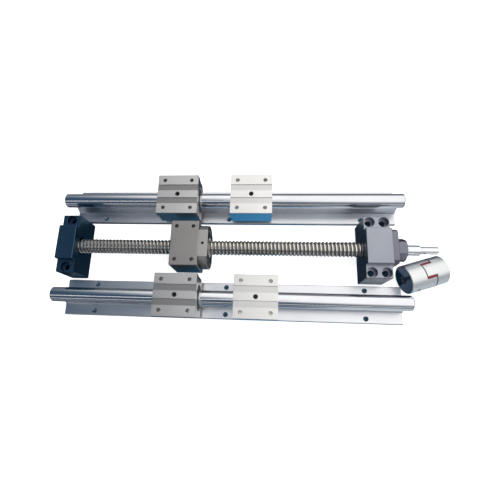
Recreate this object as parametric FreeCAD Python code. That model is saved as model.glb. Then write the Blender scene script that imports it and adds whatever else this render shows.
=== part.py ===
import FreeCAD, Part

import math
import os

# A ball screw kit for one linear axis, in millimetres.
# +X runs along the screw to its drive end, +Y is across the axis, +Z is up.
# The origin is on the mounting plane, under the middle of the whole kit.

V = FreeCAD.Vector
TAU = 2.0 * math.pi
os.makedirs("parts", exist_ok=True)

# ---------------------------------------------------------------- shared layout
AXIS_Z = 25.0                  # screw and rail shafts run at this height
TABLE_Z = 45.0                 # blocks and nut housing end level at this height
RUNNING_GAP = 0.3              # radial air between parts that move past each other
SEAT_GAP = 0.02                # radial air between parts that are fitted together
EDGE = 0.5                     # chamfer on machined edges

# ---------------------------------------------------------------- rails
RAIL_Y = 55.5                  # each rail stands this far from the screw
RAIL_X = -18.0                 # middle of both rails
RAIL_SHAFT_ENDS = (-209.0, 173.0)
RAIL_SUPPORT_ENDS = (-203.0, 170.0)
RAIL_SHAFT_R = 8.0
HOLE_PITCH = 150.0
HOLE_XS = [RAIL_X - HOLE_PITCH, RAIL_X, RAIL_X + HOLE_PITCH]
BASE_HALF_WIDTH = 20.0
BASE_THICKNESS = 5.0
BASE_HOLE_Y = 15.0
BASE_HOLE_R = 2.75
RIB_FOOT_HALF = 7.0
RIB_NECK_HALF = 3.5
RIB_NECK_Z = 12.0
SADDLE_Z = 17.8

# ---------------------------------------------------------------- open linear blocks
BLOCK_LENGTH = 45.0
BLOCK_HALF_WIDTH = 22.5
BLOCK_BOTTOM_Z = 12.0
BLOCK_FLANGE_Z = 36.0          # the full width reaches down to here
BLOCK_WAIST_HALF = 21.3
BLOCK_FOOT_HALF = 16.5
BLOCK_FOOT_Z = 17.0
BLOCK_LAND = 4.15              # half width of the land along the middle of the top
BLOCK_GROOVE = 11.0            # the shallow grooves reach from the land to here
BLOCK_GROOVE_DEPTH = 0.8
BLOCK_HOLES = (15.0, 16.0)     # half spacing of the four tapped holes
MOUTH_HALF_ANGLE = 40.0        # the blocks are open downwards over twice this angle
BUSHING_R = 14.0
BUSHING_LENGTH = 37.0
RACE_R = 10.42
BEARING_BALL_R = 1.19
BLOCK_ROW_ANGLES = (-20.0, 48.0, 132.0, 200.0)
BALLS_PER_ROW = 10
ROW_SPACING = 2.55             # between ball centres in a row
BLOCKS = {
    "rear_left": (-72.2, 1),
    "rear_right": (8.7, 1),
    "front_left": (-67.3, -1),
    "front_right": (15.5, -1),
}

# ---------------------------------------------------------------- ball screw
LEAD = 4.0
SCREW_R = 8.0
BALL_CIRCLE_R = 8.25
SCREW_GROOVE_R = 1.3
NUT_GROOVE_R = 1.2
NUT_BALL_R = 1.1
THREAD_START_X = -185.0
THREAD_END_X = 124.5
HELIX_ORIGIN_X = -188.0        # the groove's middle passes straight behind the axis here
FREE_END_X = -199.5
JOURNAL_R = 6.0
FREE_JOURNAL_R = 5.0
NECK_R = 5.5                   # between the lock nut and the drive end
NECK_END_X = 184.8
DRIVE_END_R = 4.0
DRIVE_END_X = 203.0

# ---------------------------------------------------------------- nut and its housing
NUT_FACE_X = -46.0             # the nut's flange lies against the housing here
NUT_BODY_R = 14.0
NUT_BODY_LENGTH = 32.0
FLANGE_R = 24.0
FLANGE_THICKNESS = 10.0
FLANGE_FLAT = 19.0             # the two flats stand this far from the axis
FLANGE_PCD_R = 19.0
FLANGE_HOLE_ANGLES = (-30.0, 0.0, 30.0, 150.0, 180.0, 210.0)
NUT_BORE_R = 8.35
WIPER_R = 11.0
WIPER_DEPTH = 4.0
BALL_CIRCUITS = (-66.0, -60.0, -54.0)
BALLS_PER_CIRCUIT = 18
HOUSING_LENGTH = 30.0
HOUSING_HALF_WIDTH = 24.5
HOUSING_BOTTOM_Z = 5.0
HOUSING_HOLES = (9.05, 18.2)   # half spacing of the four tapped holes on top
TAPPED_R = 2.1                 # M5 tapped holes, at their core radius
OIL_HOLE_R = 1.5
OIL_HOLE_OFFSET = 4.4          # from the housing's face, so it clears the end wiper

# ---------------------------------------------------------------- screw supports
SUPPORT_HALF_WIDTH = 32.7      # the blocks pass beside the supports with a little room
SUPPORT_UPPER_HALF = 18.7
SUPPORT_TOP_Z = 44.0
SUPPORT_SHOULDER_Z = 37.0
SUPPORT_HOLE_Y = 26.8
SUPPORT_HOLE_R = 3.3
COUNTERBORE_R = 5.4
COUNTERBORE_DEPTH = 6.5
DRIVE_SUPPORT_X = 139.5
DRIVE_SUPPORT_LENGTH = 26.0
DRIVE_HOLE_X = 7.2             # half spacing of the mounting holes along the axis
FREE_SUPPORT_X = -193.0
FREE_SUPPORT_LENGTH = 20.0
BEARING_WIDTH = 8.0
DRIVE_BEARING = {"bore": 6.0, "inner": 8.5, "outer": 11.5, "shell": 14.0, "pitch": 10.0, "balls": 10}
FREE_BEARING = {"bore": 5.0, "inner": 7.4, "outer": 10.6, "shell": 13.0, "pitch": 9.0, "balls": 9}
SUPPORT_BALL_R = 2.35
SUPPORT_RACE_R = 2.45
DRIVE_BEARING_X = 132.5        # the first drive-side bearing starts here
FREE_BEARING_X = -196.0
COLLAR_R = 8.0
SEAL_R = 11.0
CAP_THICKNESS = 6.0
CAP_HALF_WIDTH = 18.0
CAP_SCREW_OFFSET = 13.6
LOCK_NUT_X = 159.5
LOCK_NUT_LENGTH = 10.0
LOCK_NUT_FLATS = 22.0

# ---------------------------------------------------------------- loose shaft coupling
COUPLING_R = 15.0
COUPLING_LENGTH = 42.0
SCREW_HUB_LENGTH = 16.5
MOTOR_HUB_LENGTH = 14.0
COUPLING_BEVEL = 0.6
JAW_GAP = 1.0
SPIDER_END_GAP = 0.4
JAW_INNER_R = 8.2
LEG_HALF_WIDTH = 1.45
LEG_ANGLES = [52.0 + 60.0 * k for k in range(6)]
COUPLING_BORE_R = 4.0
COUPLING_X = 168.6             # middle of the end that faces the kit
COUPLING_Y = -30.8
COUPLING_YAW = 18.7
COUPLING_TILT = 6.2            # that end lies on the front rail's base, the other on the floor


# ================================================================ helpers
def block(xs, ys, zs):
    return Part.makeBox(xs[1] - xs[0], ys[1] - ys[0], zs[1] - zs[0], V(xs[0], ys[0], zs[0]))


def rod_x(x0, x1, radius, y=0.0, z=AXIS_Z):
    return Part.makeCylinder(radius, x1 - x0, V(x0, y, z), V(1, 0, 0))


def rod_z(x, y, z0, z1, radius):
    return Part.makeCylinder(radius, z1 - z0, V(x, y, z0), V(0, 0, 1))


def ring_x(x0, x1, inner, outer, y=0.0, z=AXIS_Z):
    return rod_x(x0, x1, outer, y, z).cut(rod_x(x0 - 1, x1 + 1, inner, y, z))


def cone_x(x0, x1, r0, r1, y=0.0, z=AXIS_Z):
    return Part.makeCone(r0, r1, x1 - x0, V(x0, y, z), V(1, 0, 0))


def bevelled_rod(x0, x1, radius, bevel, y=0.0, z=AXIS_Z):
    """A round bar along X with both ends bevelled."""
    left = cone_x(x0, x0 + bevel, radius - bevel, radius, y, z)
    right = cone_x(x1 - bevel, x1, radius, radius - bevel, y, z)
    return left.fuse([rod_x(x0 + bevel, x1 - bevel, radius, y, z), right]).removeSplitter()


def prism_x(outline, x0, x1):
    """A closed outline of (y, z) points, drawn out along X."""
    points = [V(x0, y, z) for y, z in outline]
    wire = Part.makePolygon(points + points[:1])
    return Part.Face(wire).extrude(V(x1 - x0, 0, 0))


def hex_x(x0, x1, across_flats, y=0.0, z=AXIS_Z):
    """A hexagonal bar along X with flats above and below."""
    corner = across_flats / math.sqrt(3.0)
    angles = [TAU * k / 6.0 for k in range(6)]
    return prism_x([(y + corner * math.cos(a), z + corner * math.sin(a)) for a in angles], x0, x1)


def bevelled(shape, size, wanted):
    """Chamfer the edges of a shape that the test picks out."""
    edges = [edge for edge in shape.Edges if wanted(edge)]
    return shape.makeChamfer(size, edges)


def on_plane(edge, axis, value):
    """True for an edge that lies wholly in the plane axis = value."""
    low = getattr(edge.BoundBox, axis + "Min")
    high = getattr(edge.BoundBox, axis + "Max")
    return abs(low - value) < 1e-4 and abs(high - value) < 1e-4


def save(node, *shapes):
    """Write one node: a single solid, or a group of separate solids."""
    solids = [solid for shape in shapes for solid in shape.Solids]
    shape = solids[0] if len(solids) == 1 else Part.makeCompound(solids)
    shape.exportStep("parts/" + node + ".step")


def socket_screw_z(x, y, head_z, shank_r, shank_length, head_r, head_length, upwards):
    """A socket cap screw on a vertical axis. The head's bearing face is at head_z."""
    way = 1.0 if upwards else -1.0
    axis = V(0, 0, way)
    head = Part.makeCylinder(head_r, head_length, V(x, y, head_z), V(0, 0, -way))
    shank = Part.makeCylinder(shank_r, shank_length, V(x, y, head_z), axis)
    tool = Part.makeCylinder(head_r * 0.52, head_length * 0.6, V(x, y, head_z - way * head_length), axis)
    return head.fuse(shank).removeSplitter().cut(tool)


def grub_screw(centre, axis, radius, length):
    """A headless screw with a hexagon socket. It points along axis and starts at centre."""
    body = Part.makeCylinder(radius, length, centre, axis)
    corner = radius * 0.55
    points = [V(corner * math.cos(TAU * k / 6), corner * math.sin(TAU * k / 6), 0) for k in range(7)]
    socket = Part.Face(Part.makePolygon(points)).extrude(V(0, 0, length * 0.5))
    socket.Placement = FreeCAD.Placement(centre, FreeCAD.Rotation(V(0, 0, 1), axis))
    return body.cut(socket)


# ================================================================ helical thread
def helix_point(radius, angle, offset):
    """A point offset along X from the groove's middle line, at a turning angle from +Y."""
    x = HELIX_ORIGIN_X + LEAD * angle / TAU + offset
    return V(x, radius * math.cos(angle), AXIS_Z + radius * math.sin(angle))


def helical_surface(profile, turn):
    """One turn of surface. The profile is a list of (offset, radius)."""
    rows = []
    steps = 12
    for i in range(steps + 1):
        angle = TAU * (turn + i / steps)
        rows.append([helix_point(radius, angle, offset) for offset, radius in profile])
    surface = Part.BSplineSurface()
    surface.interpolate(rows)
    return surface


def threaded_bar(land_r, groove_r, outward, first_turn, last_turn):
    """A bar whose round groove (or ridge, if outward) is a right-hand helix about the screw's axis."""
    way = 1.0 if outward else -1.0
    spread = math.asin(math.sqrt(groove_r ** 2 - (BALL_CIRCLE_R - land_r) ** 2) / groove_r)
    half = groove_r * math.sin(spread)
    arc = []
    steps = 8
    for i in range(steps + 1):
        angle = spread * (2.0 * i / steps - 1.0)
        arc.append((groove_r * math.sin(angle), BALL_CIRCLE_R + way * groove_r * math.cos(angle)))
    land = [(half, land_r), (LEAD - half, land_r)]
    turns = range(first_turn, last_turn)
    grooves = [helical_surface(arc, turn) for turn in turns]
    lands = [helical_surface(land, turn) for turn in turns]
    faces = [surface.toShape() for surface in grooves + lands]
    faces += end_faces(grooves[0], lands[0], half, first_turn, 0)
    faces += end_faces(grooves[-1], lands[-1], half, last_turn, 1)
    shell = Part.makeShell(faces)
    shell.sewShape()
    bar = Part.makeSolid(shell)
    if bar.Volume < 0:
        bar.reverse()
    return bar


def end_faces(groove, land, half, turn, side):
    """The flat step and the winding face that close one end of a threaded bar."""
    profile = [surface.uIso(surface.bounds()[side]).toShape() for surface in (groove, land)]
    start = helix_point(0.0, TAU * turn, -half)
    end = helix_point(0.0, TAU * turn, LEAD - half)
    low = profile[0].valueAt(profile[0].FirstParameter)
    high = profile[1].valueAt(profile[1].LastParameter)
    lines = [Part.makeLine(high, end), Part.makeLine(end, start), Part.makeLine(start, low)]
    step = Part.Face(Part.Wire(profile + lines))
    rim = groove.vIso(groove.bounds()[2]) if side == 0 else land.vIso(land.bounds()[3])
    rim = rim.toShape()
    centre = []
    for parameter in (rim.FirstParameter, rim.LastParameter):
        centre.append(V(rim.valueAt(parameter).x, 0, AXIS_Z))
    return [step, Part.makeRuledSurface(rim, Part.makeLine(centre[0], centre[1]))]


def turn_at(x):
    """The number of whole turns from the helix's origin to a place on the axis."""
    return math.floor((x - HELIX_ORIGIN_X) / LEAD)


# ================================================================ rails
def rail_shaft(y):
    x0, x1 = RAIL_SHAFT_ENDS
    shaft = bevelled_rod(x0, x1, RAIL_SHAFT_R, 1.0, y)
    holes = [rod_z(x, y, AXIS_Z - RAIL_SHAFT_R - 1, AXIS_Z + 1, 2.5) for x in HOLE_XS]
    return shaft.cut(holes)


def rail_support(y):
    x0, x1 = RAIL_SUPPORT_ENDS
    half = [
        (BASE_HALF_WIDTH, 0.4),
        (BASE_HALF_WIDTH, BASE_THICKNESS - 0.6),
        (BASE_HALF_WIDTH - 0.6, BASE_THICKNESS),
        (RIB_FOOT_HALF + 0.8, BASE_THICKNESS),
        (RIB_FOOT_HALF, BASE_THICKNESS + 0.8),
        (RIB_NECK_HALF + 0.6, RIB_NECK_Z - 0.5),
        (RIB_NECK_HALF, RIB_NECK_Z + 0.6),
        (RIB_NECK_HALF, SADDLE_Z),
    ]
    foot = [(BASE_HALF_WIDTH - 0.4, 0.0), (6.0, 0.0), (5.6, 1.2)]
    right = list(reversed(foot)) + half
    outline = [(y + a, z) for a, z in right] + [(y - a, z) for a, z in reversed(right)]
    support = prism_x(outline, x0, x1)
    cutters = [rod_x(x0 - 1, x1 + 1, RAIL_SHAFT_R + SEAT_GAP, y)]
    for x in HOLE_XS:
        cutters.append(rod_z(x, y, -1, SADDLE_Z + 1, 2.75))
        cutters.append(rod_z(x, y, -1, 7.0, 4.6))
        for side in (-1, 1):
            cutters.append(rod_z(x, y + side * BASE_HOLE_Y, -1, BASE_THICKNESS + 1, BASE_HOLE_R))
    return support.cut(cutters)


def rail_screws(y):
    return [socket_screw_z(x, y, 7.0, 2.45, 16.0, 4.25, 5.0, True) for x in HOLE_XS]


def make_rails():
    for name, y in (("rear", RAIL_Y), ("front", -RAIL_Y)):
        save(name + "_rail_shaft", rail_shaft(y))
        save(name + "_rail_support", rail_support(y))
        save(name + "_rail_shaft_screws", *rail_screws(y))


# ================================================================ open linear blocks
def mouth(x0, x1, y, reach):
    """The wedge below a rail shaft that the support stands in."""
    half = reach * math.tan(math.radians(MOUTH_HALF_ANGLE))
    return prism_x([(y, AXIS_Z), (y - half, AXIS_Z - reach), (y + half, AXIS_Z - reach)], x0, x1)


def block_housing(x, y):
    x0 = x - BLOCK_LENGTH / 2
    x1 = x + BLOCK_LENGTH / 2
    right = [
        (BLOCK_FOOT_HALF, BLOCK_BOTTOM_Z),
        (BLOCK_WAIST_HALF, BLOCK_FOOT_Z),
        (BLOCK_WAIST_HALF, BLOCK_FLANGE_Z - 0.6),
        (BLOCK_HALF_WIDTH, BLOCK_FLANGE_Z),
        (BLOCK_HALF_WIDTH, TABLE_Z - 0.4),
        (BLOCK_HALF_WIDTH - 0.4, TABLE_Z),
        (BLOCK_GROOVE, TABLE_Z),
        (BLOCK_GROOVE - 0.3, TABLE_Z - BLOCK_GROOVE_DEPTH),
        (BLOCK_LAND + 0.3, TABLE_Z - BLOCK_GROOVE_DEPTH),
        (BLOCK_LAND, TABLE_Z),
    ]
    outline = [(y + a, z) for a, z in right] + [(y - a, z) for a, z in reversed(right)]
    housing = prism_x(outline, x0, x1)
    cutters = [rod_x(x0 - 1, x1 + 1, BUSHING_R + SEAT_GAP, y), mouth(x0 - 1, x1 + 1, y, 16.0)]
    cutters.append(rod_z(x, y, TABLE_Z - 10, TABLE_Z + 1, 2.5))
    for dx in (-BLOCK_HOLES[0], BLOCK_HOLES[0]):
        for dy in (-BLOCK_HOLES[1], BLOCK_HOLES[1]):
            cutters.append(rod_z(x + dx, y + dy, TABLE_Z - 12, TABLE_Z + 1, TAPPED_R))
    lip = 0.6
    cutters.append(cone_x(x0, x0 + lip, BUSHING_R + lip, BUSHING_R, y))
    cutters.append(cone_x(x1 - lip, x1, BUSHING_R, BUSHING_R + lip, y))
    return housing.cut(cutters)


def row_place(angle, radius, y):
    """Where a row of balls runs: its y and z."""
    turn = math.radians(angle)
    return y + radius * math.cos(turn), AXIS_Z + radius * math.sin(turn)


def block_ball_rows(x, y):
    radius = RAIL_SHAFT_R + BEARING_BALL_R + SEAT_GAP
    balls = []
    for angle in BLOCK_ROW_ANGLES:
        by, bz = row_place(angle, radius, y)
        for k in range(BALLS_PER_ROW):
            bx = x + (k - (BALLS_PER_ROW - 1) / 2) * ROW_SPACING
            balls.append(Part.makeSphere(BEARING_BALL_R, V(bx, by, bz)))
    return balls


def block_retainer(x, y):
    """The moulded cage inside the sleeve, with one slot for each row of balls."""
    half = BUSHING_LENGTH / 2 - 1.0
    ring = ring_x(x - half, x + half, RAIL_SHAFT_R + RUNNING_GAP + 0.1, RACE_R - 0.08, y)
    cutters = [mouth(x - half - 1, x + half + 1, y, 14.0)]
    slot_half = BALLS_PER_ROW * ROW_SPACING / 2 + 0.4
    for angle in BLOCK_ROW_ANGLES:
        by, bz = row_place(angle, RAIL_SHAFT_R + BEARING_BALL_R, y)
        cutters.append(rod_x(x - slot_half, x + slot_half, BEARING_BALL_R + 0.15, by, bz))
    return ring.cut(cutters)


def make_block(name, x, side):
    y = side * RAIL_Y
    half = BUSHING_LENGTH / 2
    end = BLOCK_LENGTH / 2
    save(name + "_block_housing", block_housing(x, y))
    sleeve = ring_x(x - half, x + half, RACE_R, BUSHING_R, y).cut(mouth(x - half - 1, x + half + 1, y, 16.0))
    sleeve = sleeve.cut(rod_z(x, y, AXIS_Z + BUSHING_R - 1.0, AXIS_Z + BUSHING_R + 1.0, 2.6))
    save(name + "_block_bushing_sleeve", sleeve)
    save(name + "_block_ball_retainer", block_retainer(x, y))
    save(name + "_block_balls", *block_ball_rows(x, y))
    seals = []
    for x0, x1 in ((x - end + 0.6, x - half - 0.05), (x + half + 0.05, x + end - 0.6)):
        seal = ring_x(x0, x1, RAIL_SHAFT_R + RUNNING_GAP, BUSHING_R - 0.03, y)
        seals.append(seal.cut(mouth(x0 - 1, x1 + 1, y, 16.0)))
    save(name + "_block_end_seals", *seals)
    screw = grub_screw(V(x, y, TABLE_Z - 2.6), V(0, 0, -1), 2.45, 4.2)
    save(name + "_block_set_screw", screw)


# ================================================================ ball screw
def ball_screw():
    thread = threaded_bar(SCREW_R, SCREW_GROOVE_R, False, turn_at(THREAD_START_X) - 1, turn_at(THREAD_END_X) + 2)
    envelope = bevelled_rod(THREAD_START_X, THREAD_END_X, SCREW_R + 0.2, 1.4)
    pieces = [
        rod_x(THREAD_START_X - 3.0, THREAD_START_X, 6.4),
        bevelled_rod(FREE_END_X, THREAD_START_X - 3.0, FREE_JOURNAL_R, 0.5),
        rod_x(THREAD_END_X, LOCK_NUT_X, JOURNAL_R),
        bevelled_rod(LOCK_NUT_X - 1.0, LOCK_NUT_X + LOCK_NUT_LENGTH, JOURNAL_R, 0.5),
        bevelled_rod(LOCK_NUT_X, NECK_END_X, NECK_R, 0.5),
        bevelled_rod(NECK_END_X - 1.0, DRIVE_END_X, DRIVE_END_R, 0.5),
    ]
    groove = ring_x(FREE_BEARING_X - 1.2, FREE_BEARING_X - 0.05, FREE_JOURNAL_R - 0.4, FREE_JOURNAL_R + 1)
    return thread.common(envelope).fuse(pieces).removeSplitter().cut(groove)


def nut_shape():
    x0 = NUT_FACE_X - NUT_BODY_LENGTH
    x1 = NUT_FACE_X + FLANGE_THICKNESS
    flange = bevelled_rod(NUT_FACE_X, x1, FLANGE_R, 0.6)
    flats = block((x0, x1 + 1), (-FLANGE_R, FLANGE_R), (AXIS_Z - FLANGE_FLAT, AXIS_Z + FLANGE_FLAT))
    body = bevelled_rod(x0, NUT_FACE_X + 1, NUT_BODY_R, 0.6)
    nut = flange.common(flats).fuse(body).removeSplitter()
    cutters = [
        rod_x(x0 - 1, x0 + WIPER_DEPTH, WIPER_R),
        rod_x(x1 - WIPER_DEPTH, x1 + 1, WIPER_R),
        rod_z(NUT_FACE_X + OIL_HOLE_OFFSET, 0, AXIS_Z, TABLE_Z, OIL_HOLE_R),
    ]
    for angle in FLANGE_HOLE_ANGLES:
        y = FLANGE_PCD_R * math.cos(math.radians(angle))
        z = AXIS_Z + FLANGE_PCD_R * math.sin(math.radians(angle))
        cutters.append(rod_x(NUT_FACE_X - 1, x1 + 1, 2.75, y, z))
    cutters += oval_plugs(0.05, 16.0)
    core = threaded_bar(NUT_BORE_R, NUT_GROOVE_R, True, turn_at(x0) - 2, turn_at(x1) + 3)
    return nut.cut(cutters).cut(core)


def oval_plugs(allowance, top):
    """Oval blocks reaching into the nut's wall, one over each circuit of balls."""
    plugs = []
    for k, x in enumerate(BALL_CIRCUITS):
        half = 2.4 + allowance
        long_half = 3.0
        bottom = 10.0 - allowance
        plug = block((x - half, x + half), (-long_half, long_half), (bottom, top))
        for side in (-1, 1):
            plug = plug.fuse(rod_z(x, side * long_half, bottom, top, half))
        plug = plug.removeSplitter()
        plug.rotate(V(0, 0, 0), V(1, 0, 0), 120.0 * k)
        plug.translate(V(0, 0, AXIS_Z))
        plugs.append(plug)
    return plugs


def ball_returns():
    """The plugs that lead the balls back, rounded off flush with the nut's body."""
    x0 = NUT_FACE_X - NUT_BODY_LENGTH
    return [plug.common(rod_x(x0, NUT_FACE_X, NUT_BODY_R - 0.05)) for plug in oval_plugs(0.0, 16.0)]


def nut_balls():
    """Three circuits of balls, each of nearly one turn, on the groove's middle line."""
    balls = []
    for x in BALL_CIRCUITS:
        first = TAU * (x - HELIX_ORIGIN_X) / LEAD
        for k in range(BALLS_PER_CIRCUIT):
            angle = first + TAU * (k - BALLS_PER_CIRCUIT / 2) / (BALLS_PER_CIRCUIT + 1)
            balls.append(Part.makeSphere(NUT_BALL_R, helix_point(BALL_CIRCLE_R, angle, 0.0)))
    return balls


def nut_housing():
    x0 = NUT_FACE_X - HOUSING_LENGTH
    middle = NUT_FACE_X - HOUSING_LENGTH / 2
    housing = block((x0, NUT_FACE_X), (-HOUSING_HALF_WIDTH, HOUSING_HALF_WIDTH), (HOUSING_BOTTOM_Z, TABLE_Z))
    housing = housing.makeChamfer(EDGE, housing.Edges)
    cutters = [rod_x(x0 - 1, NUT_FACE_X + 1, NUT_BODY_R + SEAT_GAP)]
    for dx in (-HOUSING_HOLES[0], HOUSING_HOLES[0]):
        for dy in (-HOUSING_HOLES[1], HOUSING_HOLES[1]):
            cutters.append(rod_z(middle + dx, dy, TABLE_Z - 7.8, TABLE_Z + 1, TAPPED_R))
    for angle in FLANGE_HOLE_ANGLES:
        y = FLANGE_PCD_R * math.cos(math.radians(angle))
        z = AXIS_Z + FLANGE_PCD_R * math.sin(math.radians(angle))
        cutters.append(rod_x(NUT_FACE_X - 12.0, NUT_FACE_X + 1, TAPPED_R, y, z))
    return housing.cut(cutters)


def make_screw_and_nut():
    save("ball_screw_shaft", ball_screw())
    save("ball_nut", nut_shape())
    save("nut_ball_returns", *ball_returns())
    save("nut_balls", *nut_balls())
    x0 = NUT_FACE_X - NUT_BODY_LENGTH
    x1 = NUT_FACE_X + FLANGE_THICKNESS
    wipers = []
    for a, b in ((x0 + 0.2, x0 + WIPER_DEPTH), (x1 - WIPER_DEPTH, x1 - 0.2)):
        wipers.append(ring_x(a, b, SCREW_R + RUNNING_GAP, WIPER_R - 0.03))
    save("nut_wipers", *wipers)
    save("nut_housing", nut_housing())


# ================================================================ bearings
def race_torus(x, bearing):
    return Part.makeTorus(bearing["pitch"], SUPPORT_RACE_R, V(x, 0, AXIS_Z), V(1, 0, 0))


def inner_ring(x, bearing):
    ring = ring_x(x, x + BEARING_WIDTH, bearing["bore"] + SEAT_GAP, bearing["inner"])
    return ring.cut(race_torus(x + BEARING_WIDTH / 2, bearing))


def outer_ring(x, bearing, open_side=0):
    """An outer ring. An angular contact ring has hardly any shoulder on its open side (-1 or 1)."""
    middle = x + BEARING_WIDTH / 2
    ring = ring_x(x, x + BEARING_WIDTH, bearing["outer"], bearing["shell"] - SEAT_GAP)
    cutters = [race_torus(middle, bearing)]
    if open_side:
        ends = sorted((middle, middle + open_side * BEARING_WIDTH))
        cutters.append(rod_x(ends[0], ends[1], bearing["pitch"] + SUPPORT_RACE_R - 0.2))
    return ring.cut(cutters)


def bearing_balls(x, bearing, radius):
    balls = []
    for k in range(bearing["balls"]):
        angle = TAU * k / bearing["balls"]
        y = bearing["pitch"] * math.cos(angle)
        z = AXIS_Z + bearing["pitch"] * math.sin(angle)
        balls.append(Part.makeSphere(radius, V(x + BEARING_WIDTH / 2, y, z)))
    return balls


def bearing_cage(x, bearing):
    """The thin ring between the races that keeps the balls apart."""
    band = ring_x(x + 0.9, x + BEARING_WIDTH - 0.9, bearing["pitch"] - 0.8, bearing["pitch"] + 0.8)
    return band.cut(bearing_balls(x, bearing, SUPPORT_BALL_R + 0.06))


# ================================================================ screw supports
def support_body(x, length, hole_xs):
    """The stepped body that both screw supports share, with its mounting holes."""
    x0 = x - length / 2
    x1 = x + length / 2
    right = [(SUPPORT_HALF_WIDTH, 0.0), (SUPPORT_HALF_WIDTH, SUPPORT_SHOULDER_Z)]
    right += [(SUPPORT_UPPER_HALF, SUPPORT_SHOULDER_Z), (SUPPORT_UPPER_HALF, SUPPORT_TOP_Z)]
    outline = right + [(-y, z) for y, z in reversed(right)]
    body = prism_x(outline, x0, x1)
    inner_corner = (SUPPORT_UPPER_HALF, SUPPORT_SHOULDER_Z)

    def outer_edge(edge):
        centre = edge.CenterOfMass
        if abs(abs(centre.y) - inner_corner[0]) < 1e-4 and abs(centre.z - inner_corner[1]) < 1e-4:
            return False
        return not on_plane(edge, "Z", SUPPORT_SHOULDER_Z) or edge.Length > length - 1e-4

    body = bevelled(body, EDGE, outer_edge)
    cutters = []
    for hole_x in hole_xs:
        for side in (-1, 1):
            y = side * SUPPORT_HOLE_Y
            cutters.append(rod_z(hole_x, y, -1, SUPPORT_SHOULDER_Z, SUPPORT_HOLE_R))
            top = SUPPORT_SHOULDER_Z + 1
            cutters.append(rod_z(hole_x, y, SUPPORT_SHOULDER_Z - COUNTERBORE_DEPTH, top, COUNTERBORE_R))
    return body.cut(cutters)


def cap_screw_places():
    return [(a * CAP_SCREW_OFFSET, AXIS_Z + b * CAP_SCREW_OFFSET) for a in (-1, 1) for b in (-1, 1)]


def drive_support_housing():
    x0 = DRIVE_SUPPORT_X - DRIVE_SUPPORT_LENGTH / 2
    x1 = DRIVE_SUPPORT_X + DRIVE_SUPPORT_LENGTH / 2
    holes = (DRIVE_SUPPORT_X - DRIVE_HOLE_X, DRIVE_SUPPORT_X + DRIVE_HOLE_X)
    body = support_body(DRIVE_SUPPORT_X, DRIVE_SUPPORT_LENGTH, holes)
    cutters = [rod_x(x0 - 1, x1 + 1, SEAL_R), rod_x(DRIVE_BEARING_X, x1 + 1, DRIVE_BEARING["shell"])]
    for y, z in cap_screw_places():
        cutters.append(rod_x(x1 - 9.0, x1 + 1, 1.65, y, z))
    return body.cut(cutters)


def retainer_cap():
    """The square cover that holds the bearings in, with a spigot against their outer rings."""
    x0 = DRIVE_SUPPORT_X + DRIVE_SUPPORT_LENGTH / 2
    x1 = x0 + CAP_THICKNESS
    half = CAP_HALF_WIDTH
    cut = 3.2
    corner = [(half, cut - half), (half, half - cut), (half - cut, half), (cut - half, half)]
    outline = [(y, AXIS_Z + z) for y, z in corner] + [(-y, AXIS_Z - z) for y, z in corner]
    plate = prism_x(outline, x0, x1)
    plate = bevelled(plate, EDGE, lambda edge: on_plane(edge, "X", x1))
    bearing_end = DRIVE_BEARING_X + 2 * BEARING_WIDTH
    spigot = rod_x(bearing_end, x0, DRIVE_BEARING["shell"] - SEAT_GAP)
    cutters = [rod_x(bearing_end - 1, x1 + 1, SEAL_R)]
    for y, z in cap_screw_places():
        cutters.append(rod_x(x0 - 1, x1 + 1, 2.1, y, z))
        cutters.append(rod_x(x1 - 3.6, x1 + 1, 3.7, y, z))
    return plate.fuse(spigot).removeSplitter().cut(cutters)


def cap_screws():
    screws = []
    x1 = DRIVE_SUPPORT_X + DRIVE_SUPPORT_LENGTH / 2 + CAP_THICKNESS
    seat = x1 - 3.6
    for y, z in cap_screw_places():
        head = rod_x(seat, x1 - 0.2, 3.4, y, z)
        socket = hex_x(x1 - 2.2, x1 + 1, 3.0, y, z)
        screws.append(head.fuse(rod_x(seat - 10.0, seat, 1.6, y, z)).removeSplitter().cut(socket))
    return screws


def lock_nut():
    x1 = LOCK_NUT_X + LOCK_NUT_LENGTH
    corner = LOCK_NUT_FLATS / math.sqrt(3.0)
    nut = hex_x(LOCK_NUT_X, x1, LOCK_NUT_FLATS)
    nut = nut.common(bevelled_rod(LOCK_NUT_X, x1, corner - 0.2, 1.2))
    cutters = [rod_x(LOCK_NUT_X - 1, x1 + 1, JOURNAL_R + SEAT_GAP)]
    for angle in (210.0, 330.0):
        cutters.append(lock_nut_hole(angle, 2.0))
    return nut.cut(cutters)


def lock_nut_hole(angle, radius):
    turn = math.radians(angle)
    way = V(0, math.cos(turn), math.sin(turn))
    start = V(LOCK_NUT_X + LOCK_NUT_LENGTH / 2, 0, AXIS_Z) + way * (JOURNAL_R + 0.05)
    return Part.makeCylinder(radius, 8.0, start, way)


def lock_nut_screws():
    screws = []
    for angle in (210.0, 330.0):
        turn = math.radians(angle)
        way = V(0, math.cos(turn), math.sin(turn))
        tip = V(LOCK_NUT_X + LOCK_NUT_LENGTH / 2, 0, AXIS_Z) + way * (LOCK_NUT_FLATS / 2 - 0.4)
        screws.append(grub_screw(tip, way * -1.0, 1.95, 4.4))
    return screws


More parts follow.
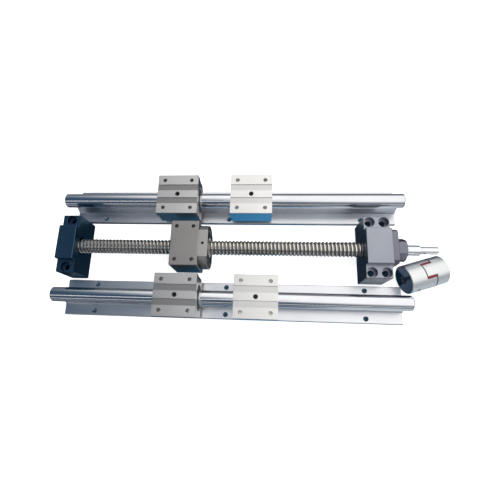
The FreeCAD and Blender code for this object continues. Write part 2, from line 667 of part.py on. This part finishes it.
def make_drive_support():
    bearing_xs = (DRIVE_BEARING_X, DRIVE_BEARING_X + BEARING_WIDTH)
    bearing_end = DRIVE_BEARING_X + 2 * BEARING_WIDTH
    housing_x0 = DRIVE_SUPPORT_X - DRIVE_SUPPORT_LENGTH / 2
    cap_end = DRIVE_SUPPORT_X + DRIVE_SUPPORT_LENGTH / 2 + CAP_THICKNESS
    save("drive_support_housing", drive_support_housing())
    save("drive_support_retainer_cap", retainer_cap())
    save("drive_support_cap_screws", *cap_screws())
    rings = [outer_ring(bearing_xs[0], DRIVE_BEARING, -1), outer_ring(bearing_xs[1], DRIVE_BEARING, 1)]
    save("drive_bearing_outer_rings", *rings)
    save("drive_bearing_inner_rings", *[inner_ring(x, DRIVE_BEARING) for x in bearing_xs])
    balls = []
    for x in bearing_xs:
        balls += bearing_balls(x, DRIVE_BEARING, SUPPORT_BALL_R)
    save("drive_bearing_balls", *balls)
    save("drive_bearing_cages", *[bearing_cage(x, DRIVE_BEARING) for x in bearing_xs])
    seals = [(housing_x0 + 0.5, DRIVE_BEARING_X - 1.0), (bearing_end + 1.0, cap_end - 0.5)]
    save("drive_support_oil_seals", *[ring_x(a, b, COLLAR_R + RUNNING_GAP, SEAL_R - 0.03) for a, b in seals])
    collars = [(THREAD_END_X + 0.02, DRIVE_BEARING_X), (bearing_end, LOCK_NUT_X)]
    save("drive_spacer_collars", *[ring_x(a, b, JOURNAL_R + SEAT_GAP, COLLAR_R) for a, b in collars])
    save("lock_nut", lock_nut())
    save("lock_nut_set_screws", *lock_nut_screws())


def circlip(x0, x1, inner, outer, gap_angle, inside):
    """An open spring ring with an eye at each side of its gap."""
    clip = ring_x(x0, x1, inner, outer)
    eye_r = inner - 0.9 if inside else outer + 0.7
    half = math.radians(gap_angle)
    reach = outer + 3.0
    wedge = [(0, AXIS_Z)]
    for turn in (-half, half):
        wedge.append((reach * math.sin(turn), AXIS_Z - reach * math.cos(turn)))
    clip = clip.cut(prism_x(wedge, x0 - 1, x1 + 1))
    for way in (-1, 1):
        turn = way * half * 1.9
        y = eye_r * math.sin(turn)
        z = AXIS_Z - eye_r * math.cos(turn)
        clip = clip.fuse(rod_x(x0, x1, 1.5, y, z)).cut(rod_x(x0 - 1, x1 + 1, 0.6, y, z))
    return clip.removeSplitter()


def make_free_support():
    x0 = FREE_SUPPORT_X - FREE_SUPPORT_LENGTH / 2
    x1 = FREE_SUPPORT_X + FREE_SUPPORT_LENGTH / 2
    body = support_body(FREE_SUPPORT_X, FREE_SUPPORT_LENGTH, (FREE_SUPPORT_X,))
    clip_x = (FREE_BEARING_X - 1.2, FREE_BEARING_X - 0.05)
    shell = FREE_BEARING["shell"]
    cutters = [
        rod_x(x0 - 1, FREE_BEARING_X + BEARING_WIDTH, shell),
        rod_x(x0, x1 + 1, 10.0),
        rod_x(clip_x[0] - 0.05, clip_x[1] + 0.05, shell + 0.8),
    ]
    save("free_support_housing", body.cut(cutters))
    save("free_bearing_outer_ring", outer_ring(FREE_BEARING_X, FREE_BEARING))
    save("free_bearing_inner_ring", inner_ring(FREE_BEARING_X, FREE_BEARING))
    save("free_bearing_balls", *bearing_balls(FREE_BEARING_X, FREE_BEARING, SUPPORT_BALL_R))
    save("free_bearing_cage", bearing_cage(FREE_BEARING_X, FREE_BEARING))
    shaft_clip = circlip(clip_x[0] + 0.05, clip_x[1] - 0.05, FREE_JOURNAL_R - 0.35, 6.4, 22.0, False)
    save("free_end_shaft_circlip", shaft_clip)
    save("free_support_housing_circlip", circlip(clip_x[0], clip_x[1], 11.6, shell + 0.7, 14.0, True))


# ================================================================ coupling
def polar(radius, degrees):
    turn = math.radians(degrees)
    return radius * math.cos(turn), radius * math.sin(turn)


def spider_leg(degrees, x0, x1, half_width, reach):
    leg = block((x0, x1), (5.6, reach), (-half_width, half_width))
    leg.rotate(V(0, 0, 0), V(1, 0, 0), degrees)
    return leg


def jaw(index, x0, x1):
    """One jaw: the sector between two legs of the spider."""
    ring = ring_x(x0, x1, JAW_INNER_R, COUPLING_R, 0.0, 0.0)
    start = LEG_ANGLES[index]
    reach = COUPLING_R * 3
    sector = [(0.0, 0.0), polar(reach, start), polar(reach, start + 60.0)]
    piece = ring.common(prism_x(sector, x0, x1))
    legs = [spider_leg(angle, x0 - 1, x1 + 1, LEG_HALF_WIDTH + 0.05, 20.0) for angle in (start, start + 60.0)]
    return piece.cut(legs)


def hub(screw_side):
    zone = (SCREW_HUB_LENGTH, COUPLING_LENGTH - MOTOR_HUB_LENGTH)
    bevel = COUPLING_BEVEL
    if screw_side:
        body = bevelled_rod(0.0, zone[0], COUPLING_R, bevel, 0.0, 0.0)
        body = body.fuse(rod_x(zone[0] - bevel, zone[0], COUPLING_R, 0.0, 0.0))
        jaws = [jaw(k, zone[0], zone[1] - JAW_GAP) for k in (1, 3, 5)]
        screw_x = zone[0] / 2
        angles = (163.0, 253.0)
    else:
        body = bevelled_rod(zone[1], COUPLING_LENGTH, COUPLING_R, bevel, 0.0, 0.0)
        body = body.fuse(rod_x(zone[1], zone[1] + bevel, COUPLING_R, 0.0, 0.0))
        jaws = [jaw(k, zone[0] + JAW_GAP, zone[1]) for k in (0, 2, 4)]
        screw_x = (zone[1] + COUPLING_LENGTH) / 2
        angles = (253.0, 343.0)
    bore = rod_x(-1, COUPLING_LENGTH + 1, COUPLING_BORE_R, 0.0, 0.0)
    shape = body.fuse(jaws).removeSplitter().cut(bore)
    screws = []
    for angle in angles:
        y, z = polar(1.0, angle)
        way = V(0, y, z)
        middle = V(screw_x, 0, 0)
        shape = shape.cut(Part.makeCylinder(2.0, COUPLING_R, middle, way))
        screws.append(grub_screw(middle + way * (COUPLING_R - 1.6), way * -1.0, 1.95, 6.0))
    return shape, screws


def spider():
    x0 = SCREW_HUB_LENGTH + SPIDER_END_GAP
    x1 = COUPLING_LENGTH - MOTOR_HUB_LENGTH - SPIDER_END_GAP
    ring = ring_x(x0, x1, 5.2, JAW_INNER_R - 0.2, 0.0, 0.0)
    legs = [spider_leg(angle, x0, x1, LEG_HALF_WIDTH, COUPLING_R - 0.25) for angle in LEG_ANGLES]
    return ring.fuse(legs).removeSplitter()


def coupling_placement():
    """The coupling lies tilted, with the lower rim of its far end on the floor."""
    tilt = math.radians(COUPLING_TILT)
    height = COUPLING_R * math.cos(tilt) + (COUPLING_LENGTH - COUPLING_BEVEL) * math.sin(tilt)
    yaw = FreeCAD.Rotation(V(0, 0, 1), COUPLING_YAW)
    dip = FreeCAD.Rotation(V(0, 1, 0), COUPLING_TILT)
    return FreeCAD.Placement(V(COUPLING_X, COUPLING_Y, height), yaw.multiply(dip))


def make_coupling():
    screw_hub, screws_a = hub(True)
    motor_hub, screws_b = hub(False)
    placement = coupling_placement()
    groups = {
        "coupling_screw_hub": [screw_hub],
        "coupling_motor_hub": [motor_hub],
        "coupling_spider": [spider()],
        "coupling_set_screws": screws_a + screws_b,
    }
    for node, shapes in groups.items():
        for shape in shapes:
            shape.Placement = placement.multiply(shape.Placement)
        save(node, *shapes)


make_rails()
for block_name, (block_x, block_side) in BLOCKS.items():
    make_block(block_name, block_x, block_side)
make_screw_and_nut()
make_drive_support()
make_free_support()
make_coupling()
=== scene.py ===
import math

import bpy
from mathutils import Matrix, Vector

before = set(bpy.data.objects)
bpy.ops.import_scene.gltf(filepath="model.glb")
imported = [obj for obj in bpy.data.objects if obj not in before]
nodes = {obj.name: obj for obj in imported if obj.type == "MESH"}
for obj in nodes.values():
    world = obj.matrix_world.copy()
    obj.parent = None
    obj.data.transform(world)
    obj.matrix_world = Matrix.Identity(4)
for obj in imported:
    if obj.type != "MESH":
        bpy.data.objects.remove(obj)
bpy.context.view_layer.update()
scene = bpy.context.scene


# ---------------------------------------------------------------- node graphs
class Graph:
    """A small helper that builds one material or world node tree."""

    def __init__(self, owner):
        owner.use_nodes = True
        self.tree = owner.node_tree
        self.tree.nodes.clear()
        self.coordinates = self.add("ShaderNodeTexCoord")

    def add(self, kind, settings=None, **inputs):
        node = self.tree.nodes.new(kind)
        for key, value in (settings or {}).items():
            setattr(node, key, value)
        for key, value in inputs.items():
            self.put(node, key.replace("_", " "), value)
        return node

    def put(self, node, name, value):
        socket = node.inputs[int(name)] if name.isdigit() else node.inputs[name]
        if isinstance(value, bpy.types.NodeSocket):
            self.tree.links.new(value, socket)
        else:
            socket.default_value = value

    def math(self, operation, a, b=0.0, c=0.0):
        node = self.tree.nodes.new("ShaderNodeMath")
        node.operation = operation
        for i, value in enumerate((a, b, c)):
            self.put(node, str(i), value)
        return node.outputs[0]

    def ramp(self, value, low, high, to_low=0.0, to_high=1.0, smooth=False):
        settings = {"interpolation_type": "SMOOTHSTEP" if smooth else "LINEAR"}
        node = self.add("ShaderNodeMapRange", settings)
        for key, number in (("Value", value), ("From Min", low), ("From Max", high),
                            ("To Min", to_low), ("To Max", to_high)):
            self.put(node, key, number)
        return node.outputs["Result"]

    def mix(self, factor, a, b, blend="MIX"):
        node = self.tree.nodes.new("ShaderNodeMix")
        node.data_type = "RGBA"
        node.blend_type = blend
        self.put(node, "0", factor)
        self.put(node, "6", a)
        self.put(node, "7", b)
        return node.outputs[2]

    def scaled(self, scale, source="Object"):
        node = self.add("ShaderNodeMapping", Scale=scale)
        self.tree.links.new(self.coordinates.outputs[source], node.inputs["Vector"])
        return node.outputs[0]

    def noise(self, scale, detail=4.0, roughness=0.55, source="Object"):
        """Noise whose features are about 1 / scale metres along each axis."""
        node = self.add("ShaderNodeTexNoise", Scale=1.0, Detail=detail, Roughness=roughness)
        self.tree.links.new(self.scaled(scale, source), node.inputs["Vector"])
        return node.outputs["Fac"]

    def axis(self, name, source="Object"):
        node = self.add("ShaderNodeSeparateXYZ")
        self.tree.links.new(self.coordinates.outputs[source], node.inputs[0])
        return node.outputs[name]

    def facing(self, name):
        """One part of the surface's true direction, in the object's own axes."""
        node = self.add("ShaderNodeSeparateXYZ")
        self.tree.links.new(self.coordinates.outputs["Normal"], node.inputs[0])
        return node.outputs[name]


def rgb(red, green, blue):
    return (red, green, blue, 1.0)


def worn_edges(graph, radius):
    """0 on flat faces and 1 along the edges."""
    rounded = graph.add("ShaderNodeBevel", {"samples": 4}, Radius=radius)
    geometry = graph.add("ShaderNodeNewGeometry")
    product = graph.add("ShaderNodeVectorMath", {"operation": "DOT_PRODUCT"})
    graph.tree.links.new(rounded.outputs[0], product.inputs[0])
    graph.tree.links.new(geometry.outputs["Normal"], product.inputs[1])
    return graph.ramp(product.outputs["Value"], 0.995, 0.90), rounded.outputs[0]


BLOTCHES = (26.0, 26.0, 26.0)
SMUDGES = (130.0, 130.0, 130.0)


def surface(name, colour, dark, roughness, grain, metallic=1.0, grain_depth=0.000004,
            grain_tone=0.18, spread=0.10, wear=0.25, wear_tone=None, edge=0.0003, extra=None):
    """A machined, moulded or coated surface with grain, blotches, edge wear and small bumps.

    grain is the noise scale along x, y and z: a low number draws the grain out along that axis.
    """
    material = bpy.data.materials.new(name)
    graph = Graph(material)
    fine = graph.noise(grain, 6.0, 0.65)
    broad = graph.noise(BLOTCHES, 3.0, 0.5)
    smudge = graph.noise(SMUDGES, 5.0, 0.7)
    edges, rounded = worn_edges(graph, edge)
    streaks = graph.math("MULTIPLY", graph.math("SUBTRACT", fine, 0.5), grain_tone * 4)
    tone = graph.math("ADD", streaks, graph.ramp(broad, 0.3, 0.7, 0.2, 0.8))
    base = graph.mix(graph.ramp(tone, 0.0, 1.0), rgb(*dark), rgb(*colour))
    light = wear_tone or tuple(min(1.0, c * 1.25 + 0.03) for c in colour)
    scuffed = graph.math("MULTIPLY", edges, graph.ramp(smudge, 0.35, 0.6, 0.3, 1.0))
    base = graph.mix(graph.math("MULTIPLY", scuffed, wear), base, rgb(*light))
    rough = graph.math("ADD", roughness - spread, graph.math("MULTIPLY", fine, spread))
    rough = graph.math("ADD", rough, graph.math("MULTIPLY", smudge, spread))
    if extra:
        base, rough = extra(graph, base, rough)
    bump = graph.add("ShaderNodeBump", Strength=1.0, Distance=grain_depth, Height=fine, Normal=rounded)
    shader = graph.add("ShaderNodeBsdfPrincipled", Metallic=metallic)
    graph.put(shader, "Base Color", base)
    graph.put(shader, "Roughness", graph.ramp(rough, 0.0, 1.0))
    graph.put(shader, "Normal", bump.outputs[0])
    output = graph.add("ShaderNodeOutputMaterial")
    graph.tree.links.new(shader.outputs[0], output.inputs["Surface"])
    return material


# ---------------------------------------------------------------- materials
ALONG = (14.0, 1500.0, 1500.0)       # grain drawn out along the screw's axis
ACROSS = (1500.0, 14.0, 1500.0)
EVEN = (1600.0, 1600.0, 1600.0)
TURNED = (1800.0, 90.0, 90.0)        # fine rings round an axis along x
GROOVE_HEIGHTS = (0.0436, 0.0446)    # the floors of the blocks' as-extruded grooves lie between these
SCREW_AXIS_Z = 0.025
THREAD_ENDS = (-0.1855, 0.1245)
THREAD_CREST_R = 0.0079              # grease and painted shade start just under the thread's lands
THREAD_ROOT_R = 0.0073
RAIL_BASE_TOP = 0.0048
COUPLING_AXIS = (0.94167, 0.31874, -0.10800)


def extruded_grooves(depth):
    """The floors of the grooves in a block's top are rougher, and their colour is darkened as painted shade.
    """
    def change(graph, base, rough):
        height = graph.axis("Z")
        low = graph.math("LESS_THAN", height, GROOVE_HEIGHTS[1])
        near = graph.math("GREATER_THAN", height, GROOVE_HEIGHTS[0])
        floor = graph.math("MULTIPLY", low, near)
        # painted shade: the groove floors are darkened
        base = graph.mix(graph.math("MULTIPLY", floor, depth), base, rgb(0.30, 0.29, 0.29))
        rough = graph.math("ADD", rough, graph.math("MULTIPLY", floor, 0.12))
        return base, rough
    return change


def thread_wear(graph, base, rough):
    """Dark grease and painted shade in the screw's groove. The journals beyond the thread are brighter and
    cleaner.
    """
    y = graph.axis("Y")
    z = graph.math("SUBTRACT", graph.axis("Z"), SCREW_AXIS_Z)
    squares = graph.math("ADD", graph.math("MULTIPLY", y, y), graph.math("MULTIPLY", z, z))
    radius = graph.math("SQRT", squares)
    along = graph.axis("X")
    threaded = graph.math("MULTIPLY", graph.math("LESS_THAN", along, THREAD_ENDS[1]),
                          graph.math("GREATER_THAN", along, THREAD_ENDS[0]))
    base = graph.mix(threaded, rgb(0.86, 0.89, 0.92), base)
    depth = graph.ramp(radius, THREAD_CREST_R, THREAD_ROOT_R, 0.0, 1.0, True)
    groove = graph.math("MULTIPLY", threaded, depth)
    # the groove's colour darkens towards its root: grease and painted shade
    base = graph.mix(graph.math("MULTIPLY", groove, 0.85), base, rgb(0.16, 0.15, 0.14))
    rough = graph.math("ADD", rough, graph.math("MULTIPLY", groove, 0.10))
    return base, rough


def faced_ends(graph, base, rough):
    """The coupling's ends are turned smoother than its side, and their colour is painted darker and bluer as
    painted shade.
    """
    along = 0.0
    for name, part in zip("XYZ", COUPLING_AXIS):
        along = graph.math("ADD", along, graph.math("MULTIPLY", graph.facing(name), part))
    end = graph.math("GREATER_THAN", graph.math("ABSOLUTE", along), 0.9)
    # painted bluish shade on the end faces
    base = graph.mix(graph.math("MULTIPLY", end, 0.8), base, rgb(0.36, 0.45, 0.56))
    rough = graph.math("SUBTRACT", rough, graph.math("MULTIPLY", end, 0.26))
    return base, rough


def sawn_sides(graph, base, rough):
    """The upright sides of a rail's thin base have their colour darkened as painted shade."""
    upright = graph.math("LESS_THAN", graph.math("ABSOLUTE", graph.facing("Z")), 0.5)
    low = graph.math("LESS_THAN", graph.axis("Z"), RAIL_BASE_TOP)
    side = graph.math("MULTIPLY", upright, low)
    # painted shade on the upright sides of the rail base
    base = graph.mix(graph.math("MULTIPLY", side, 0.75), base, rgb(0.16, 0.17, 0.18))
    return base, rough


looks = {
    "shaft": surface("ground_shaft", (0.86, 0.87, 0.89), (0.74, 0.76, 0.80), 0.13, TURNED,
                     grain_depth=0.0000006, grain_tone=0.08, spread=0.03, wear=0.1, edge=0.0002),
    "rail": surface("extruded_rail", (0.90, 0.91, 0.93), (0.78, 0.80, 0.84), 0.30, ALONG,
                    grain_depth=0.000003, grain_tone=0.16, spread=0.08, extra=sawn_sides),
    "block": surface("milled_block", (0.93, 0.92, 0.90), (0.83, 0.82, 0.79), 0.33, ALONG,
                     grain_depth=0.000004, grain_tone=0.12, spread=0.08, extra=extruded_grooves(0.12)),
    # a darker copy of the block material: painted shade for the two left blocks, with stronger painted shade
    # in their grooves
    "painted_shade_block": surface("milled_block_painted_shade", (0.80, 0.78, 0.76), (0.64, 0.62, 0.61), 0.38, ALONG,
                          grain_depth=0.000004, grain_tone=0.16, spread=0.08, extra=extruded_grooves(0.85)),
    "bushing": surface("bushing_steel", (0.45, 0.46, 0.48), (0.33, 0.34, 0.36), 0.30, TURNED),
    "retainer": surface("retainer_plastic", (0.05, 0.05, 0.055), (0.03, 0.03, 0.033), 0.5, EVEN,
                        metallic=0.0),
    "balls": surface("polished_balls", (0.88, 0.89, 0.91), (0.80, 0.81, 0.84), 0.09, EVEN,
                     grain_depth=0.0000002, spread=0.02, wear=0.0),
    "seal": surface("nitrile_seal", (0.035, 0.036, 0.04), (0.018, 0.018, 0.02), 0.62, EVEN, metallic=0.0,
                    wear=0.15),
    "black_screw": surface("black_oxide", (0.055, 0.055, 0.06), (0.03, 0.03, 0.034), 0.36, EVEN,
                           wear=0.5, wear_tone=(0.25, 0.25, 0.26)),
    "screw": surface("rolled_screw", (0.86, 0.82, 0.76), (0.70, 0.66, 0.60), 0.20, (700.0, 250.0, 250.0),
                     grain_depth=0.000002, grain_tone=0.12, spread=0.05, wear=0.2, extra=thread_wear),
    "nut": surface("ground_nut", (0.55, 0.54, 0.52), (0.42, 0.42, 0.41), 0.32, TURNED, wear=0.3),
    "wiper": surface("wiper_plastic", (0.62, 0.60, 0.55), (0.50, 0.48, 0.44), 0.5, EVEN, metallic=0.0),
    "housing": surface("milled_housing", (0.46, 0.43, 0.41), (0.36, 0.345, 0.335), 0.40, ACROSS,
                       grain_depth=0.000004, grain_tone=0.12, spread=0.08),
    "support": surface("plated_support", (0.40, 0.42, 0.47), (0.32, 0.34, 0.39), 0.38, (1400.0, 16.0, 900.0),
                       grain_depth=0.000003, grain_tone=0.12, wear=0.5, wear_tone=(0.55, 0.57, 0.62)),
    # the free support's dark base colour is tinted navy: the blue tint is a painted reflection of a blue
    # bench
    "navy_painted_support": surface("support_painted_blue_reflection", (0.055, 0.130, 0.215), (0.038, 0.092, 0.155), 0.42,
                            (1400.0, 16.0, 900.0), grain_depth=0.000003, wear=0.35,
                            wear_tone=(0.20, 0.25, 0.34)),
    "bearing": surface("bearing_steel", (0.60, 0.61, 0.63), (0.48, 0.49, 0.52), 0.22, TURNED),
    "cage": surface("brass_cage", (0.62, 0.46, 0.22), (0.45, 0.33, 0.16), 0.34, EVEN),
    "collar": surface("collar_steel", (0.62, 0.64, 0.67), (0.50, 0.52, 0.55), 0.26, TURNED),
    "lock_nut": surface("plated_lock_nut", (0.25, 0.25, 0.30), (0.17, 0.17, 0.21), 0.34, TURNED, wear=0.5,
                        wear_tone=(0.45, 0.46, 0.52)),
    "spring": surface("spring_steel", (0.10, 0.10, 0.11), (0.06, 0.06, 0.065), 0.4, EVEN),
    "coupling": surface("turned_coupling", (0.90, 0.92, 0.92), (0.80, 0.82, 0.82), 0.40, EVEN,
                        grain_depth=0.000003, grain_tone=0.08, spread=0.08, extra=faced_ends),
    "spider": surface("red_polyurethane", (0.24, 0.022, 0.035), (0.14, 0.010, 0.018), 0.45, EVEN,
                      metallic=0.0, wear=0.1),
}

worn_by = {
    "shaft": ("rear_rail_shaft", "front_rail_shaft"),
    "rail": ("rear_rail_support", "front_rail_support"),
    "black_screw": ("rear_rail_shaft_screws", "front_rail_shaft_screws", "drive_support_cap_screws",
                    "lock_nut_set_screws", "coupling_set_screws"),
    "screw": ("ball_screw_shaft",),
    "nut": ("ball_nut",),
    "wiper": ("nut_wipers", "nut_ball_returns"),
    "housing": ("nut_housing",),
    "support": ("drive_support_housing",),
    "navy_painted_support": ("free_support_housing",),
    "lock_nut": ("drive_support_retainer_cap", "lock_nut"),
    "bearing": ("drive_bearing_outer_rings", "drive_bearing_inner_rings", "free_bearing_outer_ring",
                "free_bearing_inner_ring"),
    "balls": ("drive_bearing_balls", "free_bearing_balls", "nut_balls"),
    "cage": ("drive_bearing_cages", "free_bearing_cage"),
    "seal": ("drive_support_oil_seals",),
    "collar": ("drive_spacer_collars",),
    "spring": ("free_end_shaft_circlip", "free_support_housing_circlip"),
    "coupling": ("coupling_screw_hub", "coupling_motor_hub"),
    "spider": ("coupling_spider",),
}
BLOCKS = ("rear_left", "rear_right", "front_left", "front_right")
block_wear = {"housing": "block", "bushing_sleeve": "bushing", "ball_retainer": "retainer", "balls": "balls",
              "end_seals": "seal", "set_screw": "black_screw"}


def dress(node, look):
    mesh = nodes[node].data
    mesh.materials.clear()
    mesh.materials.append(looks[look])


for look, wearers in worn_by.items():
    for wearer in wearers:
        dress(wearer, look)
for block in BLOCKS:
    for piece, look in block_wear.items():
        dress(block + "_block_" + piece, look)
# the left blocks wear the darker copy, which is painted shade
dress("rear_left_block_housing", "painted_shade_block")
dress("front_left_block_housing", "painted_shade_block")


# ---------------------------------------------------------------- floor and backdrop
def glowing(name, low, high, strength, shade=None):
    """A matt surface that gives off light, like a light table."""
    material = bpy.data.materials.new(name)
    graph = Graph(material)
    patch = graph.noise((6.0, 6.0, 6.0), 3.0)
    colour = graph.mix(patch, rgb(low, low, low), rgb(high, high, high))
    if shade:
        # painted shade: a dark teal colour on the floor under the rails
        colour = graph.mix(shade(graph), colour, rgb(0.02, 0.05, 0.07))
    shader = graph.add("ShaderNodeBsdfPrincipled", Roughness=0.7)
    graph.put(shader, "Base Color", colour)
    graph.put(shader, "Emission Color", colour)
    shader.inputs["Emission Strength"].default_value = strength
    output = graph.add("ShaderNodeOutputMaterial")
    graph.tree.links.new(shader.outputs[0], output.inputs["Surface"])
    return material


RAIL_STRIP_X = (-0.0165, 0.183)      # middle and half length of the floor under the rails
RAIL_STRIP_Y = (0.0555, 0.018)       # distance from the screw and half width


def under_rails(graph):
    """1 on the strips of floor that the rails cover, which show through their mounting holes; there the
    floor gets painted shade.
    """
    along = graph.axis("X")
    across = graph.math("ABSOLUTE", graph.axis("Y"))
    mask = 1.0
    for place, (middle, reach) in ((along, RAIL_STRIP_X), (across, RAIL_STRIP_Y)):
        off = graph.math("ABSOLUTE", graph.math("SUBTRACT", place, middle))
        mask = graph.math("MULTIPLY", mask, graph.math("LESS_THAN", off, reach))
    return mask


def make_floor():
    """The floor gives off light, so shadows stay faint, and has painted shade under the rails. The metals
    reflect the world, not the floor.
    """
    bpy.ops.mesh.primitive_plane_add(size=24.0, location=(0, 0, -0.0002))
    floor = bpy.context.object
    floor.name = "studio_floor"
    floor.data.materials.append(glowing("studio_floor", 0.93, 0.95, 0.80, under_rails))
    floor.visible_glossy = False


def make_backdrop():
    """A pale dome behind everything, seen only by the camera."""
    bpy.ops.mesh.primitive_uv_sphere_add(segments=48, ring_count=24, radius=11.0)
    dome = bpy.context.object
    dome.name = "studio_backdrop"
    dome.data.materials.append(glowing("studio_backdrop", 0.93, 0.95, 0.95))
    dome.visible_glossy = False
    dome.visible_diffuse = False
    dome.visible_shadow = False


make_floor()
make_backdrop()


# ---------------------------------------------------------------- light
SKY_DARK = rgb(0.045, 0.085, 0.140)
SKY_BRIGHT = rgb(1.16, 1.15, 1.14)
SKY_LOW = rgb(0.070, 0.095, 0.130)
BENCH_DARK = rgb(0.006, 0.022, 0.040)
BENCH_FAR = rgb(0.200, 0.225, 0.255)
BENCH_BLUE = rgb(0.020, 0.230, 0.500)
BENCH_PALE = rgb(0.550, 0.600, 0.650)
STRIPS = ((27.0, 5.0, 1.0), (74.0, 4.0, 0.8))   # degrees to the front, half width, light


def make_world():
    """A bright window to the right, a dark room to the left and a blue bench below."""
    world = bpy.data.worlds.new("studio")
    scene.world = world
    graph = Graph(world)
    x, y, z = (graph.axis(name, "Generated") for name in "XYZ")
    side = graph.math("ADD", x, graph.math("MULTIPLY", y, 0.35))
    window = graph.math("POWER", graph.ramp(side, -0.42, 0.10, 0.0, 1.0, True), 1.6)
    room = graph.mix(window, SKY_DARK, SKY_BRIGHT)
    angle = graph.math("ARCTAN2", graph.math("MULTIPLY", y, -1.0), z)
    low = graph.math("ADD", graph.ramp(angle, math.radians(16), math.radians(66), 0.0, 1.0, True),
                     graph.ramp(angle, math.radians(-62), math.radians(-80), 0.0, 1.0, True))
    room = graph.mix(graph.math("MULTIPLY", low, 0.9), room, SKY_LOW)
    for centre, half, light in STRIPS:
        off = graph.math("ABSOLUTE", graph.math("SUBTRACT", angle, math.radians(centre)))
        strip = graph.ramp(off, math.radians(half), math.radians(half * 0.5), 0.0, light, True)
        room = graph.mix(strip, room, SKY_BRIGHT)
    blue = graph.math("MULTIPLY", graph.ramp(x, -0.28, -0.02, 0.0, 1.0, True),
                      graph.ramp(y, 0.0, -0.22, 0.0, 1.0, True))
    blue = graph.math("MULTIPLY", blue, graph.ramp(z, -0.55, -0.85, 0.0, 1.0, True))
    bench = graph.mix(graph.ramp(z, -0.78, -0.35, 0.0, 1.0, True), BENCH_DARK, BENCH_FAR)
    bench = graph.mix(blue, bench, BENCH_BLUE)
    pale = graph.math("MULTIPLY", graph.ramp(x, 0.08, 0.26, 0.0, 1.0, True),
                      graph.ramp(y, 0.02, -0.14, 0.0, 1.0, True))
    bench = graph.mix(pale, bench, BENCH_PALE)
    room = graph.mix(graph.ramp(z, -0.10, 0.02, 0.0, 1.0, True), bench, room)
    background = graph.add("ShaderNodeBackground", Strength=1.0)
    graph.put(background, "Color", room)
    output = graph.add("ShaderNodeOutputWorld")
    graph.tree.links.new(background.outputs[0], output.inputs["Surface"])


def softbox(name, place, target, size, power, colour=(1.0, 1.0, 1.0)):
    light = bpy.data.lights.new(name, "AREA")
    light.shape = "RECTANGLE"
    light.size, light.size_y = size
    light.energy = power
    light.color = colour
    lamp = bpy.data.objects.new(name, light)
    scene.collection.objects.link(lamp)
    lamp.location = place
    lamp.rotation_euler = (Vector(target) - Vector(place)).to_track_quat("-Z", "Y").to_euler()
    lamp.visible_glossy = False


make_world()
softbox("key_softbox", (0.55, 0.15, 0.75), (0.05, 0.0, 0.0), (0.5, 0.5), 3.0, (1.0, 0.98, 0.96))
softbox("top_softbox", (-0.05, 0.25, 1.1), (-0.02, 0.0, 0.0), (0.7, 0.5), 3.0)


# ---------------------------------------------------------------- camera
SENSOR_MM = 36.0
LENS_MM = 26.87216
LENS_SHIFT = (0.0336086, 0.0197418)  # shares of the frame's width
CAMERA_AT = Vector((0.022372, -0.107074, 0.408148))
TURN = (-0.257, 0.097, 0.015)        # the lens's small turns away from looking straight down


def make_camera():
    data = bpy.data.cameras.new("camera")
    data.sensor_width = SENSOR_MM
    data.lens = LENS_MM
    data.shift_x, data.shift_y = LENS_SHIFT
    data.clip_start = 0.01
    data.clip_end = 50.0
    camera = bpy.data.objects.new("camera", data)
    scene.collection.objects.link(camera)
    turn = Matrix.Rotation(TURN[2], 3, "Z") @ Matrix.Rotation(TURN[1], 3, "Y")
    turn = turn @ Matrix.Rotation(TURN[0], 3, "X")
    rows = turn @ Matrix(((1, 0, 0), (0, -1, 0), (0, 0, -1)))
    basis = Matrix((rows[0], -rows[1], -rows[2])).transposed()
    camera.matrix_world = Matrix.Translation(CAMERA_AT) @ basis.to_4x4()
    scene.camera = camera


make_camera()
scene.view_settings.view_transform = "Standard"
